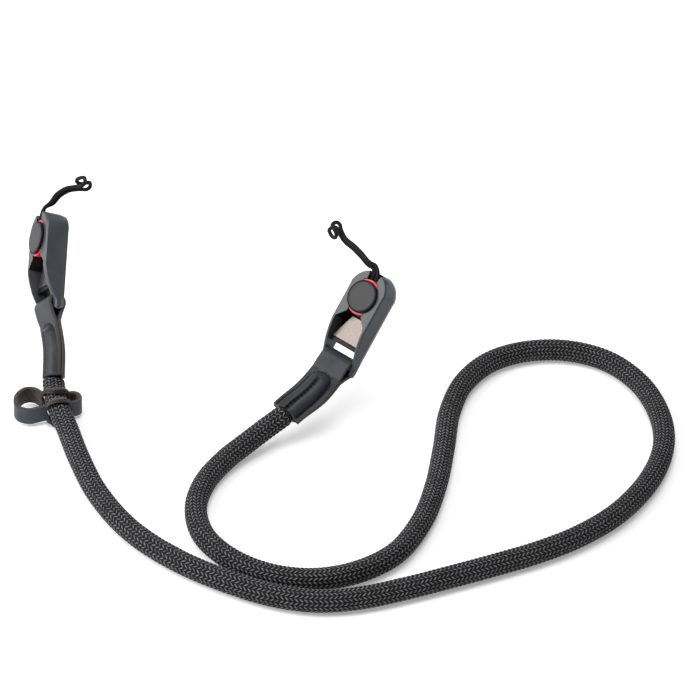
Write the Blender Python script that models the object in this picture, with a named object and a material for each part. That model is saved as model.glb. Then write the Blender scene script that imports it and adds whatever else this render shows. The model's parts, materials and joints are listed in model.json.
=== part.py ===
"""Rope camera strap with two quick-release ends, modelled as it lies: the round braided rope curves over
a table, and both ends rise to the two camera eyelets that their thin anchor cords are looped through."""

import math

import bmesh
import bpy
import numpy as np
from mathutils import Euler, Matrix, Vector

MM = 0.001
CLEARANCE = 0.3 * MM

# Rope and anchor cords
ROPE_DIAMETER = 10.0 * MM
ROPE_END_DIAMETER = 5.0 * MM
ROPE_STEP = 12.0 * MM
CORD_DIAMETER = 1.9 * MM
CORD_SPACING = 2.3 * MM
CORD_STEP = 1.9 * MM
EYELET_BAR = 2.2 * MM

# Where the strap hangs and lies
LUG_HEIGHT = 71.2 * MM
RIGHT_LUG = Vector((0.0, 0.0, 0.0))
LEFT_LUG = Vector((-116.5, 24.0, 0.0)) * MM

# Quick-release housing: x across, y towards the anchor cord from the cap's centre, z out of its back
HOUSING_WIDTH = 20.6 * MM
HOUSING_THICK = 11.4 * MM
HOUSING_TOP = 12.7 * MM
HOUSING_TAIL = 34.8 * MM
NOSE_RADIUS = 2.9 * MM
RAIL_WALL = 1.6 * MM
BACK_WALL = 3.2 * MM
EDGE_ROUND = 0.7 * MM
BACK_CHAMFER_ACROSS = 1.3 * MM
BACK_CHAMFER_DEEP = 3.0 * MM
CROSS_BAR_START = 22.1 * MM
CROSS_BAR_END = 24.0 * MM
CROSS_BAR_SINK = 5.3 * MM
END_BAR_Y = 30.8 * MM
END_BAR_Z = 3.0 * MM
END_BAR_DIAMETER = 4.0 * MM

# Anchor: a thin round cap on a red core that sits in the housing's channel
CAP_DIAMETER = 15.4 * MM
CAP_THICK = 1.2 * MM
CORE_LENGTH = 17.0 * MM
CORE_WIDTH = 8.2 * MM
CORE_THICK = 2.3 * MM
MOUTH_WIDTH = 6.0 * MM

# Spring plate: a metal trapezoid on a pad in the housing's open recess
PLATE_TOP_WIDTH = 7.0 * MM
PLATE_BOTTOM_WIDTH = 16.8 * MM
PLATE_START = 9.9 * MM
PLATE_THICK = 0.7 * MM
PLATE_SINK = 5.2 * MM

# Leather tabs: one strip each, folded round the end bar and stitched over the rope's end
LEATHER = 1.5 * MM
TAB_WIDTH = 16.7 * MM
TAB_MOUTH_WIDTH = 14.6 * MM
TAB_LENGTH = 36.0 * MM
LOOP_LENGTH = 9.0 * MM
LOOP_SLACK = 0.5 * MM
TAB_FREE = 4.5 * MM
SLEEVE_START = 9.5 * MM
SLEEVE_FULL = 15.0 * MM
SLEEVE_HEIGHT = 6.2 * MM
SLEEVE_WIDTH = 10.6 * MM
GROOVE_DEPTH = 0.14
GROOVE_WIDTH = 0.9 * MM
LAYER_GAP = 0.3 * MM

# Keeper: a leather ring with a slit in its front and back, and the rope goes through both slits
KEEPER_LEATHER = 1.6 * MM
KEEPER_BAND = 8.2 * MM
KEEPER_LONG = 29.7 * MM
KEEPER_DEEP = 15.6 * MM
KEEPER_STEP = 1.3 * MM
KEEPER_SLIT_GAP = 1.3 * MM
KEEPER_DROP = 1.6 * MM
KEEPER_PINCH = 0.09

# The two ends: place in mm and turn in degrees of each housing, and how its tab folds at the end bar,
# drifts aside by its mouth, bows aside halfway and twists, and how far aside and up its cord leaves
ENDS = {
    "right": {"place": (20.1, -20.3, -26.0), "turn": (46.3, -3.8, -42.8),
              "fold": 27.6, "drift": -0.6, "bow": 1.5, "twist": -16.0, "mouth": -2.8, "lift": 0.5},
    "left": {"place": (-126.7, 13.7, -26.7), "turn": (57.0, -47.1, -47.8),
             "fold": -2.8, "drift": 6.0, "bow": 2.2, "twist": -3.6, "mouth": 2.4, "lift": 0.0},
}

# The rope's route from the left tab to the right one: x, y and the centre's height over the table, in mm
ROPE_ROUTE = (
    (-123.6, -49.5, 8.6), (-122.0, -56.2, 7.7), (-119.3, -64.1, 7.0), (-115.6, -72.4, 5.7),
    (-108.3, -92.0, 5.0), (-97.5, -115.5, 5.0), (-81.0, -138.0, 5.0), (-59.0, -155.5, 5.0),
    (-32.2, -168.8, 5.0),
    (-14.9, -174.2, 5.0), (2.2, -175.6, 5.0), (19.2, -172.4, 5.0), (38.1, -165.2, 5.0),
    (57.3, -156.5, 5.0), (76.5, -147.4, 5.0), (95.4, -137.8, 5.0), (114.0, -125.7, 5.0),
    (131.9, -108.6, 5.0), (146.7, -84.8, 5.0), (153.4, -62.0, 5.0), (152.6, -41.5, 5.0),
    (144.6, -19.6, 5.0), (130.0, -3.8, 5.0), (111.5, 2.6, 5.0), (92.0, 0.6, 5.0),
    (75.0, -8.6, 5.0), (62.8, -25.0, 5.0), (56.4, -46.5, 5.0), (53.9, -72.1, 5.0),
    (50.6, -98.0, 5.0), (44.6, -122.0, 5.0), (33.5, -143.5, 5.0), (17.0, -156.6, 5.0),
    (-1.0, -162.3, 5.0), (-20.0, -160.8, 5.0), (-37.0, -152.4, 5.0), (-49.6, -138.6, 5.0),
    (-54.4, -121.0, 5.0), (-51.6, -103.6, 5.0), (-43.6, -88.0, 5.3), (-33.4, -76.4, 7.3),
    (-25.5, -69.3, 10.1),
)

# Each anchor cord's route from its eyelet to its housing: x, y, z in mm, the middle of its two strands
CORD_ROUTES = {
    "right": ((4.8, -4.3, -3.0), (8.9, -7.7, -4.3), (12.7, -11.3, -6.0), (15.9, -14.6, -7.7)),
    "left": ((-120.3, 24.0, -2.6), (-124.2, 24.2, -3.8), (-128.4, 23.8, -6.9), (-131.4, 22.9, -11.0)),
}

# Which way an anchor cord's two strands lie apart at the eyelet, and the share of that way at each point
# from the core to the eyelet; the rest is the housing's own way across
CORD_SPREAD = {"right": (0.20, -0.20, 0.96), "left": (-0.57, -0.27, 0.78)}
SPREAD_SHARES = (0.0, 0.0, 0.15, 0.55, 0.9, 1.0, 1.0)

# The hitch round an eyelet bar: each strand's place towards the housing, aside and to the front of the bar,
# the first and the last in shares of the cord's wrap radius, the middle one of half the strands' spacing
HITCH = (
    (1.15, 1.25, -0.45), (0.0, 1.5, -1.0), (-0.78, 1.75, -0.66), (-0.78, 1.9, 0.66), (0.0, 2.0, 1.05),
    (0.95, 1.8, 1.25), (1.5, 0.95, 1.3),
)

# The keeper's plan: place along its long side and across it, as shares of its two lengths from the rope
KEEPER_PLAN = (
    (-0.35, 0.16), (-0.32, 0.28), (-0.23, 0.33), (-0.10, 0.27), (0.04, 0.22), (0.18, 0.24),
    (0.32, 0.32), (0.46, 0.39), (0.60, 0.22), (0.63, -0.06), (0.57, -0.36), (0.44, -0.56),
    (0.30, -0.54), (0.17, -0.32), (0.04, -0.05), (-0.10, -0.04), (-0.22, -0.16), (-0.32, -0.05),
)
KEEPER_KNOT = 1

# The band from its lower edge to its upper one: place in half widths, and the share of the slit's lift. Where
# the rope goes through, each half leans out of the ring by the last two: how far it reaches and how far it rises
KEEPER_LEVELS = ((-1.0, -1.0), (-0.5, -1.0), (0.0, -1.0), (0.0, 1.0), (0.5, 1.0), (1.0, 1.0))
KEEPER_LEAN = {"below": (0.98, 0.06), "above": (0.90, 0.36)}

# The housing's side view: place along its length from the cap, as a share of the tail, and its height
HOUSING_SLOPE = (
    (0.43, 1.00), (0.56, 0.90), (0.68, 0.77), (0.76, 0.65), (0.83, 0.52), (0.90, 0.40),
)


def material(name, colour, roughness, metallic=0.0):
    made = bpy.data.materials.new(name)
    made.use_nodes = True
    shader = made.node_tree.nodes["Principled BSDF"]
    shader.inputs["Base Color"].default_value = (*colour, 1.0)
    shader.inputs["Roughness"].default_value = roughness
    shader.inputs["Metallic"].default_value = metallic
    return made


def add_object(name, mesh, paint=None, parent=None):
    made = bpy.data.objects.new(name, mesh)
    bpy.context.collection.objects.link(made)
    made.parent = parent
    if paint:
        mesh.materials.clear()
        mesh.materials.append(paint)
    return made


def mesh_from(name, vertices, faces, smooth=True):
    """A mesh of the given points and faces, turned so that its faces point out."""
    made = bpy.data.meshes.new(name)
    made.from_pydata([tuple(map(float, point)) for point in vertices], [], faces)
    shell = bmesh.new()
    shell.from_mesh(made)
    bmesh.ops.recalc_face_normals(shell, faces=shell.faces)
    shell.to_mesh(made)
    shell.free()
    if smooth:
        made.shade_smooth()
        made.set_sharp_from_angle(angle=math.radians(35))
    return made


def loft(name, rings):
    """A closed mesh through rings of equal point count, with a flat face on its first and last ring."""
    count = len(rings[0])
    faces = [list(range(count))[::-1], [(len(rings) - 1) * count + i for i in range(count)]]
    for r in range(len(rings) - 1):
        for i in range(count):
            j = (i + 1) % count
            faces.append([r * count + i, r * count + j, (r + 1) * count + j, (r + 1) * count + i])
    return mesh_from(name, [point for ring in rings for point in ring], faces)


def prism(name, outline, low, high):
    """An outline in x and y, raised from one height to another."""
    return loft(name, [[(x, y, z) for x, y in outline] for z in (low, high)])


def arc(centre_x, centre_y, radius, first, last, steps):
    angles = np.radians(np.linspace(first, last, steps))
    return [(centre_x + radius * math.cos(a), centre_y + radius * math.sin(a)) for a in angles]


def boolean(target, cutter, operation):
    """Cut or join with another mesh object, apply it and remove the other object."""
    step = target.modifiers.new(operation.lower(), "BOOLEAN")
    step.operation = operation
    step.solver = "EXACT"
    step.object = cutter
    graph = bpy.context.evaluated_depsgraph_get()
    result = bpy.data.meshes.new_from_object(target.evaluated_get(graph))
    target.modifiers.clear()
    target.data = result
    bpy.data.objects.remove(cutter)


def smooth_step(value):
    q = np.clip(value, 0.0, 1.0)
    return q * q * (3.0 - 2.0 * q)


def smooth_path(points, step, closed=False):
    """Points every step along a centripetal Catmull-Rom curve through the given points."""
    knots = np.array([tuple(p) for p in points], dtype=float)
    if closed:
        knots = np.vstack([knots[-1], knots, knots[:2]])
    else:
        knots = np.vstack([2 * knots[0] - knots[1], knots, 2 * knots[-1] - knots[-2]])
    fine = []
    for i in range(1, len(knots) - 2):
        p = knots[i - 1:i + 3]
        t = np.concatenate([[0.0], np.cumsum(np.linalg.norm(np.diff(p, axis=0), axis=1) ** 0.5)])
        for s in np.linspace(t[1], t[2], 24, endpoint=False):
            a = [(p[k] * (t[k + 1] - s) + p[k + 1] * (s - t[k])) / (t[k + 1] - t[k]) for k in range(3)]
            b = [(a[k] * (t[k + 2] - s) + a[k + 1] * (s - t[k])) / (t[k + 2] - t[k]) for k in range(2)]
            fine.append((b[0] * (t[2] - s) + b[1] * (s - t[1])) / (t[2] - t[1]))
    fine = np.array(fine + [knots[-2]])
    along = np.concatenate([[0.0], np.cumsum(np.linalg.norm(np.diff(fine, axis=0), axis=1))])
    places = np.linspace(0.0, along[-1], max(2, round(along[-1] / step) + 1))
    path = np.stack([np.interp(places, along, fine[:, k]) for k in range(3)], axis=1)
    return path[:-1] if closed else path


def tube(name, points, radii, resolution, paint):
    """A round tube along points, with a radius at each and flat closed ends."""
    curve = bpy.data.curves.new(name, "CURVE")
    curve.dimensions = "3D"
    curve.bevel_depth = 1.0
    curve.bevel_resolution = resolution
    curve.use_fill_caps = True
    curve.materials.append(paint)
    spline = curve.splines.new("POLY")
    spline.points.add(len(points) - 1)
    for place, point, radius in zip(spline.points, points, radii):
        place.co = (*point, 1.0)
        place.radius = radius
    return add_object(name, curve)


def housing_section(y):
    """One cross-section of the housing body at y, as points in x and z, round the outside."""
    crown = HOUSING_TOP - HOUSING_WIDTH / 2
    half = HOUSING_WIDTH / 2
    if y > crown:
        half = math.sqrt(max((HOUSING_WIDTH / 2) ** 2 - (y - crown) ** 2, 0.0)) + 0.4 * MM
    share = -y / HOUSING_TAIL
    places = [place for place, _ in HOUSING_SLOPE]
    heights = [height for _, height in HOUSING_SLOPE]
    low, high = 0.0, HOUSING_THICK * float(np.interp(share, places, heights))
    nose = -(HOUSING_TAIL - NOSE_RADIUS)
    if y < nose:
        bow = math.sqrt(max(NOSE_RADIUS ** 2 - (y - nose) ** 2, 0.0)) + 0.3 * MM
        low = max(low, NOSE_RADIUS - bow)
        high = min(high, NOSE_RADIUS + bow)
    deep = min(BACK_CHAMFER_DEEP, 0.4 * (high - low))
    across = min(BACK_CHAMFER_ACROSS, 0.4 * half)
    edge = min(EDGE_ROUND, 0.3 * half, 0.3 * (high - low))
    side = [(half - across, low), (half, low + deep), (half, high - edge), (half - edge, high)]
    return [(x, y, z) for x, z in side + [(-x, z) for x, z in reversed(side)]]


def recess_outline():
    """The flared opening between the rails, from the core's lower end to past the cross bar."""
    inner = HOUSING_WIDTH / 2 - RAIL_WALL
    core = CORE_WIDTH / 2 + CLEARANCE
    start = -(CORE_LENGTH / 2 + CLEARANCE)
    flare = start - (inner - core)
    return [(core, start), (inner, flare), (inner, -CROSS_BAR_START), (-inner, -CROSS_BAR_START),
            (-inner, flare), (-core, start)]


def channel_outline():
    """The channel that the core slides in, open to the recess below, with an arc over the core above."""
    core = CORE_WIDTH / 2 + CLEARANCE
    reach = CORE_LENGTH / 2 + CLEARANCE
    lean = math.degrees(math.asin(core / reach))
    return [(-core, -reach), (core, -reach)] + arc(0, 0, reach, 90 - lean, 90 + lean, 7)


def mouth_outline():
    """The cord's way out through the housing's top, a little wider at the outer end."""
    half = MOUTH_WIDTH / 2
    top = HOUSING_TOP + 2 * MM
    start = CORE_LENGTH / 2 - 1.5 * MM
    return [(half, start), (half, HOUSING_TOP - 2.5 * MM), (half + 1.6 * MM, top),
            (-half - 1.6 * MM, top), (-half, HOUSING_TOP - 2.5 * MM), (-half, start)]


def plate_outline(inset=0.0):
    top = PLATE_TOP_WIDTH / 2 - inset
    bottom = PLATE_BOTTOM_WIDTH / 2 - inset
    low = -(CROSS_BAR_START - CLEARANCE)
    return [(top, -PLATE_START), (-top, -PLATE_START), (-bottom, low), (bottom, low)]


def cylinder_x(name, y, z, radius, half, sides):
    ring = arc(y, z, radius, 0, 360 - 360 / sides, sides)
    return loft(name, [[(x, a, b) for a, b in ring] for x in (-half, half)])


def make_housing(paint):
    """The housing: a lofted body with its recess, channel, mouth and webbing slot cut, and its end bar."""
    nose = HOUSING_TAIL - NOSE_RADIUS
    crown = HOUSING_TOP - HOUSING_WIDTH / 2
    steps = [-HOUSING_TAIL, -HOUSING_TAIL + 0.25 * NOSE_RADIUS, -HOUSING_TAIL + 0.6 * NOSE_RADIUS, -nose]
    steps += [-share * HOUSING_TAIL for share, _ in reversed(HOUSING_SLOPE)]
    steps += [crown + HOUSING_WIDTH / 2 * math.sin(math.radians(a)) for a in range(0, 85, 12)]
    steps += [HOUSING_TOP]
    body = add_object("housing_body", loft("housing_body", [housing_section(y) for y in sorted(steps)]))
    above = HOUSING_THICK + 2 * MM
    floor = HOUSING_THICK - CORE_THICK - CLEARANCE
    inner = HOUSING_WIDTH / 2 - RAIL_WALL
    bar_top = HOUSING_THICK - CROSS_BAR_SINK
    low = -(HOUSING_TAIL + 2 * MM)
    over_bar = [(inner, -CROSS_BAR_START + 0.2 * MM), (inner, low), (-inner, low),
                (-inner, -CROSS_BAR_START + 0.2 * MM)]
    slot = [(inner, -CROSS_BAR_END), (inner, low), (-inner, low), (-inner, -CROSS_BAR_END)]
    cuts = (("recess", recess_outline(), BACK_WALL), ("channel", channel_outline(), floor),
            ("mouth", mouth_outline(), floor), ("over_bar", over_bar, bar_top), ("slot", slot, -2 * MM))
    for name, outline, depth in cuts:
        boolean(body, add_object(name, prism(name, outline, depth, above)), "DIFFERENCE")
    pad_top = HOUSING_THICK - PLATE_SINK - PLATE_THICK - CLEARANCE
    pad = prism("pad", plate_outline(0.5 * MM), BACK_WALL - 0.5 * MM, pad_top)
    bar = cylinder_x("bar", -END_BAR_Y, END_BAR_Z, END_BAR_DIAMETER / 2, inner + RAIL_WALL / 2, 20)
    for name, mesh in (("pad", pad), ("bar", bar)):
        boolean(body, add_object(name, mesh), "UNION")
    mesh = body.data
    bpy.data.objects.remove(body)
    mesh.materials.clear()
    mesh.materials.append(paint)
    mesh.shade_smooth()
    mesh.set_sharp_from_angle(angle=math.radians(30))
    return mesh


def make_cap(paint):
    """The round cap: a low disc with a rounded rim."""
    radius = CAP_DIAMETER / 2
    base = HOUSING_THICK + CLEARANCE
    profile = [(radius - 0.2 * MM, 0.0), (radius, 0.2 * MM), (radius, 0.6 * CAP_THICK),
               (radius - 0.35 * MM, 0.9 * CAP_THICK), (0.55 * radius, CAP_THICK)]
    rings = [[(r * math.cos(a), r * math.sin(a), base + z) for a in np.radians(np.arange(0, 360, 9))]
             for r, z in profile]
    mesh = loft("anchor_cap", rings)
    mesh.materials.append(paint)
    return mesh


def make_core(paint):
    """The red core: straight sides and two arcs that follow the cap's round."""
    half = CORE_WIDTH / 2
    lean = math.degrees(math.asin(half / (CORE_LENGTH / 2)))
    top, bottom = (arc(0, 0, CORE_LENGTH / 2, a - lean, a + lean, 9) for a in (90, 270))
    outline = top + bottom
    mesh = prism("anchor_core", outline, HOUSING_THICK - CORE_THICK, HOUSING_THICK)
    mesh.materials.append(paint)
    return mesh


def make_plate(paint):
    top = HOUSING_THICK - PLATE_SINK
    mesh = prism("spring_plate", plate_outline(), top - PLATE_THICK, top)
    mesh.materials.append(paint)
    return mesh


def sleeve_swell(along, across, widen):
    """How far the sleeve stands off its middle plane at a place along and across the tab."""
    q = np.clip(np.abs(across) / (SLEEVE_WIDTH / 2 + widen), 0.0, 1.0)
    groove = 1.0 - GROOVE_DEPTH * np.exp(-(across / GROOVE_WIDTH) ** 2)
    rise = smooth_step((along - SLEEVE_START) / (SLEEVE_FULL - SLEEVE_START))
    return rise * (SLEEVE_HEIGHT / 2) * (1.0 - q ** 2.2) ** 0.8 * groove


def tab_profile():
    """Half of the tab's inner line, from the mouth of its sleeve to the top of its loop: place, height."""
    radius = END_BAR_DIAMETER / 2 + CLEARANCE + LOOP_SLACK
    reach = math.hypot(LOOP_LENGTH, LAYER_GAP / 2)
    tangent = math.degrees(math.acos(radius / reach))
    sleeve = [TAB_LENGTH, 0.8 * TAB_LENGTH, 0.6 * TAB_LENGTH, SLEEVE_FULL + 2 * MM, SLEEVE_FULL,
              0.5 * (SLEEVE_START + SLEEVE_FULL), SLEEVE_START + 1 * MM, LOOP_LENGTH]
    line = [(a, LAYER_GAP / 2, 90.0) for a in sleeve]
    for angle in np.linspace(tangent, 180.0, 8):
        turn = math.radians(angle)
        line.append((LOOP_SLACK + radius * math.cos(turn), radius * math.sin(turn), angle))
    return line


def tab_point(end, along, across, height):
    """A point of a tab in its housing's frame. Past the housing's nose the tab drifts, bows and twists."""
    free = min(max((along - TAB_FREE) / (TAB_LENGTH - TAB_FREE), 0.0), 1.0)
    share = float(smooth_step(free))
    twist = math.radians(end["twist"]) * share
    aside = end["drift"] * share + end["bow"] * math.sin(math.pi * free) ** 2
    x = across * math.cos(twist) - height * math.sin(twist) + aside * MM
    z = across * math.sin(twist) + height * math.cos(twist)
    fold = math.radians(end["fold"])
    return Vector((x, -END_BAR_Y - along * math.cos(fold) + z * math.sin(fold),
                   END_BAR_Z + along * math.sin(fold) + z * math.cos(fold)))


def make_tab(name, end, paint):
    """A tab: a leather strip from the sleeve's mouth round the end bar and back, swollen over the rope."""
    right_side = np.array([0.15, 0.34, 0.52, 0.68, 0.84, 1.0]) * TAB_WIDTH / 2
    columns = np.concatenate([-right_side[::-1], [0.0], right_side])
    upper = tab_profile()
    line = upper + [(a, -h, -angle) for a, h, angle in reversed(upper[:-1])]
    rings = []
    for along, height, angle in line:
        side = math.copysign(1.0, height) if abs(height) > 0 else 1.0
        turn = math.radians(angle)
        inner, outer = [], []
        narrow = float(smooth_step(along / TAB_LENGTH)) ** 2 * (1 - TAB_MOUTH_WIDTH / TAB_WIDTH)
        for x in columns * (1 - narrow):
            swell_in = float(sleeve_swell(along, x, 0.0))
            swell_out = float(sleeve_swell(along, x, LEATHER))
            inner.append(tab_point(end, along, x, height + side * swell_in))
            outer.append(tab_point(end, along + LEATHER * math.cos(turn), x,
                                   height + LEATHER * math.sin(turn) + side * swell_out))
        rings.append(inner + outer[::-1])
    mesh = loft(name, rings)
    mesh.materials.append(paint)
    return mesh


def keeper_frame():
    """The keeper's middle, its long side, its level way along the rope and the rope's slope there."""
    middle = Vector(ROPE_ROUTE[KEEPER_KNOT]) * MM - Vector((0, 0, LUG_HEIGHT))
    before, after = (Vector(ROPE_ROUTE[KEEPER_KNOT + i]) for i in (-1, 1))
    run = after - before
    way = Vector((run.x, run.y, 0)).normalized()
    long_side = way.cross(Vector((0, 0, 1)))
    return middle, long_side, way, run.z / math.hypot(run.x, run.y)


def make_keeper(paint):
    """The keeper: a ring of leather band, slit along its middle where the rope goes through it."""
    middle, long_side, way, sink = keeper_frame()
    plan = [(KEEPER_LONG * u, KEEPER_DEEP * v, 0.0) for u, v in KEEPER_PLAN]
    ring = smooth_path(plan, KEEPER_STEP, closed=True)
    opening = ROPE_DIAMETER / 2 + KEEPER_SLIT_GAP
    half = KEEPER_BAND / 2
    vertices, faces, rows = [], [], []
    crossing = KEEPER_PINCH * KEEPER_DEEP
    for u, v, _ in ring:
        lift = math.sqrt(max(opening ** 2 - u ** 2, 0.0))
        share = lift / opening
        level = sink * v * share - KEEPER_DROP * (1 - share)
        out = math.copysign(share, v - crossing)
        row = []
        for place, raised in KEEPER_LEVELS:
            if raised == 1.0 and lift == 0.0 and place == 0.0:
                row.append(row[2])
                continue
            row.append(len(vertices))
            reach, rise = KEEPER_LEAN["below" if raised < 0 else "above"]
            height = level + place * half * (1 - share * (1 - rise)) + raised * lift
            lean = abs(place) * half * reach * out
            vertices.append(middle + long_side * u + way * (v + lean) + Vector((0, 0, height)))
        rows.append(row)
    for a, b in zip(rows, rows[1:] + rows[:1]):
        for k in (0, 1, 3, 4):
            faces.append([a[k], b[k], b[k + 1], a[k + 1]])
    mesh = bpy.data.meshes.new("rope_keeper")
    mesh.from_pydata([tuple(v) for v in vertices], [], faces)
    mesh.materials.append(paint)
    keeper = add_object("rope_keeper", mesh)
    wall = keeper.modifiers.new("wall", "SOLIDIFY")
    wall.thickness = KEEPER_LEATHER
    wall.offset = 0.0
    mesh.shade_smooth()
    return keeper


def end_matrix(end):
    turn = Euler([math.radians(a) for a in end["turn"]]).to_matrix().to_4x4()
    return Matrix.Translation(Vector(end["place"]) * MM) @ turn


def inside_sleeve(end):
    """The middle line of a tab's sleeve, from near its closed end to just out of its mouth."""
    stations = (SLEEVE_FULL, 0.55 * TAB_LENGTH, 0.75 * TAB_LENGTH, TAB_LENGTH + 0.1 * MM)
    return [end_matrix(end) @ tab_point(end, along, 0.0, 0.0) for along in stations]


def make_rope(paint):
    """The rope, from inside the left sleeve over the table to inside the right one."""
    left, right = inside_sleeve(ENDS["left"]), inside_sleeve(ENDS["right"])
    table = Vector((0, 0, -LUG_HEIGHT))
    lying = [Vector(point) * MM + table for point in ROPE_ROUTE]
    shoulder = 1.6 * MM
    first = left[-1] + (left[-1] - left[-2]).normalized() * shoulder
    last = right[-1] + (right[-1] - right[-2]).normalized() * shoulder
    middle = smooth_path([left[-1], first] + lying + [last, right[-1]], ROPE_STEP)
    points = left + [first] + [Vector(p) for p in middle[1:-1]] + [last] + right[::-1]
    thin, full = ROPE_END_DIAMETER / 2, ROPE_DIAMETER / 2
    radii = [thin] * len(left) + [full] * len(middle) + [thin] * len(right)
    return tube("rope", points, radii, 4, paint)


def cord_strands(name):
    """One anchor cord: up one strand from the core, hitched round the eyelet bar, and down the other."""
    end = ENDS[name]
    matrix = end_matrix(end)
    across = (matrix.to_3x3() @ Vector((1, 0, 0))).normalized()
    lug = RIGHT_LUG if name == "right" else LEFT_LUG
    level = HOUSING_THICK - CORE_THICK + CORD_DIAMETER / 2
    aside, lift = end["mouth"] * MM, end["lift"] * MM
    seat = [matrix @ Vector(p) for p in ((0, CORE_LENGTH / 2 + 1.5 * CLEARANCE, level),
                                         (0.15 * aside, HOUSING_TOP - 1.5 * MM, level),
                                         (aside, HOUSING_TOP + 1.5 * MM, level + lift))]
    route = [Vector(p) * MM for p in CORD_ROUTES[name]]
    pull = (route[0] - lug).normalized()
    spread = Vector(CORD_SPREAD[name])
    bar = (spread - pull * spread.dot(pull)).normalized()
    front = pull.cross(bar)
    centre = seat + route[::-1]
    strand = []
    for i, (point, share) in enumerate(zip(centre, SPREAD_SHARES)):
        tangent = (centre[min(i + 1, len(centre) - 1)] - centre[max(i - 1, 0)]).normalized()
        side = across.lerp(spread, share)
        side = (side - tangent * side.dot(tangent)).normalized()
        strand.append((point, side))
    wrap = (EYELET_BAR + CORD_DIAMETER) / 2 + 0.1 * MM
    half = CORD_SPACING / 2
    turns = [lug + wrap * (pull * e + front * f) for e, _, f in HITCH]
    asides = [bar * half * b for _, b, _ in HITCH]
    crossing = lug + wrap * (pull * 1.6 + front * 1.3)
    up = [point + side * half for point, side in strand] + [p + a for p, a in zip(turns, asides)]
    down = [point - side * half for point, side in strand] + [p - a for p, a in zip(turns, asides)]
    return smooth_path(up + [crossing] + down[::-1], CORD_STEP)


def make_end(name, end, paints, shared):
    """One quick-release end: an empty at the housing's place carries its housing, plate, anchor and tab."""
    frame = bpy.data.objects.new(name + "_end", None)
    bpy.context.collection.objects.link(frame)
    frame.matrix_world = end_matrix(end)
    bpy.context.view_layer.update()
    for piece, mesh in shared.items():
        add_object(f"{name}_{piece}", mesh, parent=frame)
    tab = f"{name}_leather_tab"
    add_object(tab, make_tab(tab, end, paints["leather"]), parent=frame)
    points = cord_strands(name)
    tube(f"{name}_anchor_cord", points, [CORD_DIAMETER / 2] * len(points), 2, paints["thin cord"])


def main():
    for item in list(bpy.data.objects):
        bpy.data.objects.remove(item, do_unlink=True)
    paints = {
        "rope": material("braided rope", (0.016, 0.016, 0.017), 0.75),
        "thin cord": material("thin braided cord", (0.012, 0.012, 0.013), 0.7),
        "leather": material("charcoal leather", (0.035, 0.035, 0.038), 0.5),
        "keeper": material("keeper leather", (0.032, 0.036, 0.039), 0.55),
        "housing": material("slate plastic", (0.05, 0.055, 0.062), 0.42),
        "cap": material("cap plastic", (0.095, 0.088, 0.09), 0.45),
        "core": material("red plastic", (0.79, 0.05, 0.06), 0.4),
        "plate": material("spring steel", (0.55, 0.51, 0.48), 0.35, 1.0),
    }
    shared = {
        "housing": make_housing(paints["housing"]),
        "anchor_cap": make_cap(paints["cap"]),
        "anchor_core": make_core(paints["core"]),
        "spring_plate": make_plate(paints["plate"]),
    }
    for name, end in ENDS.items():
        make_end(name, end, paints, shared)
    make_keeper(paints["keeper"])
    make_rope(paints["rope"])


main()
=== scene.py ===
"""Rope camera strap with quick-release ends: a braided rope that lies on a table, two stitched leather tabs,
two moulded housings with their anchors on thin cords, and a leather keeper that the rope goes through.

Every size is in millimetres unless a comment says otherwise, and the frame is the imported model's own.
"""

import json
import math

import bmesh
import bpy
import numpy as np
from mathutils import Euler, Matrix, Vector

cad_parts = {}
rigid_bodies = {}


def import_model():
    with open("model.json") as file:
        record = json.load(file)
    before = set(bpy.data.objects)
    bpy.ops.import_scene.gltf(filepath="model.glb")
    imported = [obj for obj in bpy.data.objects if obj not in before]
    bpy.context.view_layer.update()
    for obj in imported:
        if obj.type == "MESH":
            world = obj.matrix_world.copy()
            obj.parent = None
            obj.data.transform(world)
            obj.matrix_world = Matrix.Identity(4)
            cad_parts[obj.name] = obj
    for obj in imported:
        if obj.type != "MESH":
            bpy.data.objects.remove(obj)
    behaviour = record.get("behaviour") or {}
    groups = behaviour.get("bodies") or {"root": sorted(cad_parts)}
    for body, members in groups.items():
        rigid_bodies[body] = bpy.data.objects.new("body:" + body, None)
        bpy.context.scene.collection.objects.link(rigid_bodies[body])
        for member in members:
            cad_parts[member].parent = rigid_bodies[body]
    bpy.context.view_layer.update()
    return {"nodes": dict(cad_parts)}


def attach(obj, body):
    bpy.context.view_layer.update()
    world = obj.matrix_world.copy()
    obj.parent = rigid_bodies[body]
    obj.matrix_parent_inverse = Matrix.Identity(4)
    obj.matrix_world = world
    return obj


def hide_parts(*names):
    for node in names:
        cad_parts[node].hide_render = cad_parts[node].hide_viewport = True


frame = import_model()

bl_info = {
    "name": "Rope Camera Strap",
    "version": (1, 0, 0),
    "blender": (4, 5, 0),
    "location": "3D View > Sidebar > Strap",
    "description": "Builds a braided rope strap with leather tabs and quick-release ends on its frame",
    "category": "Add Mesh",
}

MM = 0.001

# The table's height: the origin is where the right anchor cord is hitched
TABLE = -71.2

# Each end: the place of its housing and its turn in degrees, how its leather tab folds, drifts aside, bows
# and twists, how its cord leaves the housing's mouth, and where the cord's hitch is
ENDS = {
    "right": {"place": (20.1, -20.3, -26.0), "turn": (46.3, -3.8, -42.8), "fold": 27.6, "drift": -0.6,
              "bow": 1.5, "twist": -16.0, "mouth": -2.8, "lift": 0.5,
              "hitch": (0.0, 0.0, 0.0)},
    "left": {"place": (-126.7, 13.7, -26.7), "turn": (57.0, -47.1, -47.8), "fold": -2.8, "drift": 6.0,
             "bow": 2.2, "twist": -3.6, "mouth": 2.4, "lift": 0.0,
             "hitch": (-116.5, 24.0, 0.0)},
}

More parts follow.
